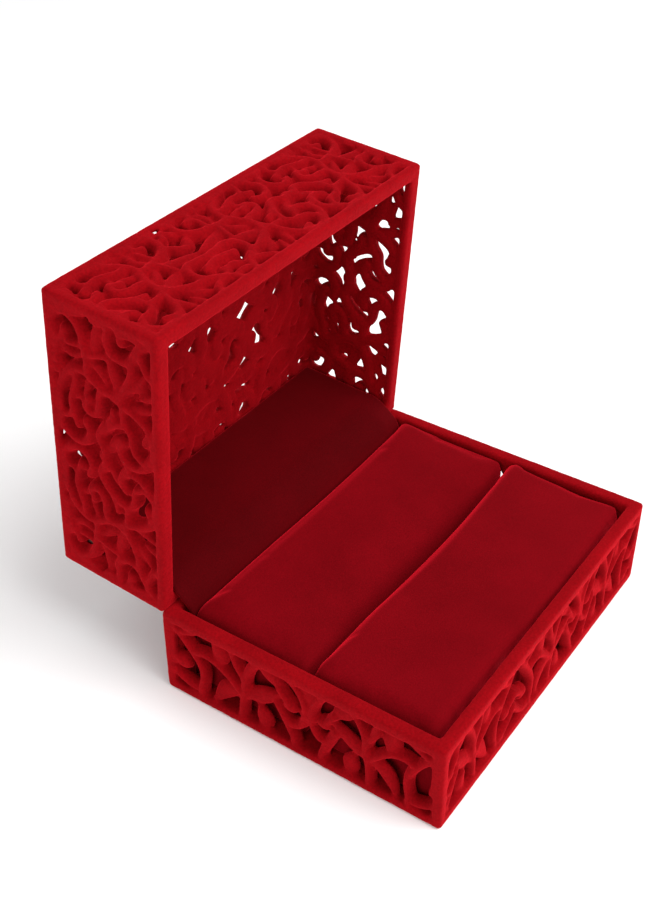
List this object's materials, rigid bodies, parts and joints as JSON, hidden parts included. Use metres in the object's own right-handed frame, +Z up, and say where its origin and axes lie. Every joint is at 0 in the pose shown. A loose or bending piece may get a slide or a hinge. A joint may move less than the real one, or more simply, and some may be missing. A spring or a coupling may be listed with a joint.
{
  "type": "ring box",
  "caption": "Hinged ring box with flocked scroll openwork walls, standing open, with soft velvet ring pads and a slot between them.",
  "frame": {"origin": "centre of the base's flat underside", "axes": "+Z up, +X along the hinge, -Y towards the front of the box"},
  "size_m": [0.076, 0.0808, 0.0776],
  "materials": {
    "flocked_shell": "flocked, velvety",
    "pad_velvet": "velvet",
    "lining_velvet": "velvet",
    "card": "matt card",
    "foam": "open-cell foam",
    "hinge_steel": "plated, satin",
    "spring_steel": "blued spring strip"
  },
  "bodies": {
    "base": {"base_floor": "flocked_shell", "base_front_wall": "flocked_shell", "base_hinge_wall": "flocked_shell", "base_left_wall": "flocked_shell", "base_right_wall": "flocked_shell", "hinge_base_leaf": "hinge_steel", "hinge_base_rivets": "hinge_steel", "hinge_pin": "hinge_steel", "hinge_spring": "spring_steel", "front_pad_board": "card", "front_foam_core": "foam", "front_pad_cover": "pad_velvet", "rear_pad_board": "card", "rear_foam_core": "foam", "rear_pad_cover": "pad_velvet", "rear_lining_strip": "lining_velvet"},
    "lid": {"lid_top_wall": "flocked_shell", "lid_front_wall": "flocked_shell", "lid_hinge_wall": "flocked_shell", "lid_left_wall": "flocked_shell", "lid_right_wall": "flocked_shell", "hinge_lid_leaf": "hinge_steel", "hinge_lid_rivets": "hinge_steel", "lid_lining_board": "card", "lid_lining_velvet": "lining_velvet"}
  },
  "joints": [
    {"name": "lid_hinge", "type": "hinge", "parent": "base", "child": "lid", "pos_m": [0, 0.028, 0.0191], "axis": [1, 0, 0], "range_deg": [0, 86]}
  ]
}
